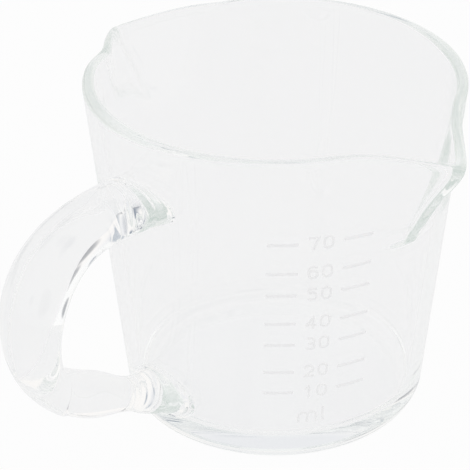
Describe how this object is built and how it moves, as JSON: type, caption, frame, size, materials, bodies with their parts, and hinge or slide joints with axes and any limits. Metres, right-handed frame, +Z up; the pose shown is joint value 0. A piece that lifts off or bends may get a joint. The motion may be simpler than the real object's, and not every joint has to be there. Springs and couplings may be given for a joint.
{
  "type": "double spout measuring cup",
  "caption": "Small clear glass measuring cup with a pouring spout on each side, a drawn glass loop handle and a printed volume scale on its wall.",
  "frame": {"origin": "centre of the cup's round underside, on the table", "axes": "+Z up along the cup's axis, the handle points to -X, the two spouts point to -Y and +Y"},
  "size_m": [0.0846, 0.0757, 0.057],
  "materials": {
    "glass": "clear, fire polished",
    "print": "fired white enamel, satin"
  },
  "bodies": {
    "root": {"cup_body": "glass", "handle": "glass", "unit_mark": "print", "numeral_10": "print", "numeral_20": "print", "numeral_30": "print", "numeral_40": "print", "numeral_50": "print", "numeral_60": "print", "numeral_70": "print", "left_line_10": "print", "left_line_20": "print", "left_line_30": "print", "left_line_40": "print", "left_line_50": "print", "left_line_60": "print", "left_line_70": "print", "right_line_10": "print", "right_line_20": "print", "right_line_30": "print", "right_line_40": "print", "right_line_50": "print", "right_line_60": "print", "right_line_70": "print"}
  },
  "joints": []
}
